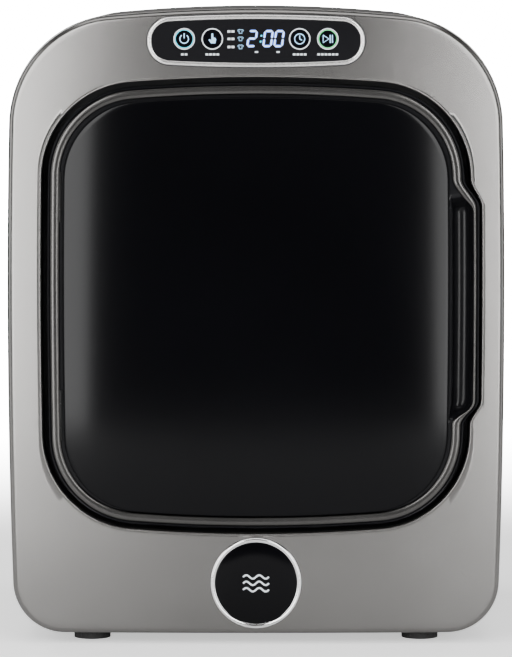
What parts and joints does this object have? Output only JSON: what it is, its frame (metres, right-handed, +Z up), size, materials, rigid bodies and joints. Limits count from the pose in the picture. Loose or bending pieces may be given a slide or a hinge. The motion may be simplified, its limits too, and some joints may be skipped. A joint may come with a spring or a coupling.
{
  "type": "compact tumble dryer",
  "caption": "Compact front-loading vented tumble dryer with round-cornered cabinet, hinged black glass door, touch-key panel and belt-driven drum.",
  "frame": {"origin": "middle of the footprint, on the floor", "axes": "+Z up, -Y towards the door, +X to the right seen from the front"},
  "size_m": [0.5, 0.44, 0.64],
  "materials": {
    "cabinet_paint": "satin metallic paint",
    "fascia_paint": "moulded, satin metallic paint",
    "satin_trim": "satin",
    "bright_trim": "satin chrome",
    "gloss_black": "gloss",
    "key_black": "gloss with lit icons",
    "black_glass": "gloss black glass",
    "rubber": "matte",
    "belt_rubber": "ribbed",
    "charcoal_plastic": "moulded",
    "bowl_plastic": "moulded",
    "zinc_steel": "galvanised",
    "drum_steel": "brushed stainless",
    "bright_steel": "plated",
    "black_steel": "black painted steel",
    "cast_alloy": "cast",
    "bronze": "sintered bronze",
    "felt": "wool felt",
    "filter_plastic": "moulded",
    "motor_paint": "painted castings",
    "circuit_board": "solder mask",
    "pale_plastic": "moulded",
    "heater_ceramic": "matte",
    "plate_label": "blank foil plate"
  },
  "bodies": {
    "base": {"cabinet": "cabinet_paint", "base_pan": "charcoal_plastic", "feet": "rubber", "fascia": "fascia_paint", "recess_floor": "charcoal_plastic", "back_panel": "zinc_steel", "back_screws": "bright_steel", "rating_plate": "plate_label", "cord_gland": "charcoal_plastic", "exhaust_spigot": "charcoal_plastic", "control_bezel": "satin_trim", "control_lens": "gloss_black", "display_board": "circuit_board", "badge_ring": "bright_trim", "badge_disc": "gloss_black", "hinge_brackets": "black_steel", "door_magnet": "charcoal_plastic", "door_switch": "pale_plastic", "front_bulkhead": "zinc_steel", "front_felt": "felt", "rear_bulkhead": "zinc_steel", "rear_felt": "felt", "bearing_housing": "cast_alloy", "bearing_bush": "bronze", "belt": "belt_rubber", "motor_body": "motor_paint", "motor_bracket": "zinc_steel", "fan_scroll": "charcoal_plastic", "rear_duct": "charcoal_plastic", "exhaust_duct": "charcoal_plastic", "idler_spring": "bright_steel", "capacitor": "cast_alloy", "ptc_heater": "heater_ceramic", "heater_duct": "zinc_steel", "air_plenum": "charcoal_plastic", "thermostats": "pale_plastic", "board_box": "pale_plastic", "main_board": "circuit_board"},
    "door": {"door_frame": "gloss_black", "door_skirt": "gloss_black", "grip_wall": "gloss_black", "door_bezel": "fascia_paint", "door_glass": "black_glass", "handle_pocket": "gloss_black", "door_bowl": "bowl_plastic", "door_seal": "rubber", "door_strike": "bright_steel", "hinge_leaves": "black_steel", "hinge_pins": "bright_steel"},
    "drum": {"drum_shell": "drum_steel", "drum_back": "drum_steel", "lifters": "charcoal_plastic", "drum_hub": "cast_alloy"},
    "filter": {"lint_filter": "filter_plastic"},
    "rotor": {"motor_shaft": "bright_steel", "motor_pulley": "cast_alloy", "impeller": "charcoal_plastic"},
    "tension_arm": {"idler_arm": "zinc_steel"},
    "tension_wheel": {"idler_pulley": "charcoal_plastic"},
    "power_key": {"key_power": "key_black"},
    "course_key": {"key_course": "key_black"},
    "time_key": {"key_time": "key_black"},
    "start_key": {"key_start": "key_black"}
  },
  "joints": [
    {"name": "door_hinge", "type": "hinge", "parent": "base", "child": "door", "pos_m": [-0.198, -0.209, 0.3415], "axis": [0, 0, -1], "range_deg": [0, 100]},
    {"name": "drum_spin", "type": "hinge", "parent": "base", "child": "drum", "pos_m": [0, 0, 0.34], "axis": [0, 1, 0], "continuous": true},
    {"name": "filter_pull", "type": "slide", "parent": "drum", "child": "filter", "axis": [0, -1, 0], "range_m": [0, 0.04]},
    {"name": "motor_spin", "type": "hinge", "parent": "base", "child": "rotor", "pos_m": [-0.16, 0, 0.078], "axis": [0, 1, 0], "continuous": true},
    {"name": "tension_swing", "type": "hinge", "parent": "base", "child": "tension_arm", "pos_m": [-0.06, -0.0495, 0.042], "axis": [0, -1, 0], "range_deg": [0, 10], "stiffness_Nm_per_rad": 3, "springref_deg": -8.59, "deforming": ["idler_spring"]},
    {"name": "tension_wheel_spin", "type": "hinge", "parent": "tension_arm", "child": "tension_wheel", "pos_m": [-0.095, -0.061, 0.086], "axis": [0, 1, 0], "continuous": true},
    {"name": "power_key_press", "type": "slide", "parent": "base", "child": "power_key", "axis": [0, 1, 0], "range_m": [0, 0.0008], "stiffness_N_per_m": 900},
    {"name": "course_key_press", "type": "slide", "parent": "base", "child": "course_key", "axis": [0, 1, 0], "range_m": [0, 0.0008], "stiffness_N_per_m": 900},
    {"name": "time_key_press", "type": "slide", "parent": "base", "child": "time_key", "axis": [0, 1, 0], "range_m": [0, 0.0008], "stiffness_N_per_m": 900},
    {"name": "start_key_press", "type": "slide", "parent": "base", "child": "start_key", "axis": [0, 1, 0], "range_m": [0, 0.0008], "stiffness_N_per_m": 900}
  ],
  "couplings": [
    {"joint": "motor_spin", "follows": "drum_spin", "ratio": 22.07},
    {"joint": "tension_wheel_spin", "follows": "drum_spin", "ratio": -13.69}
  ]
}
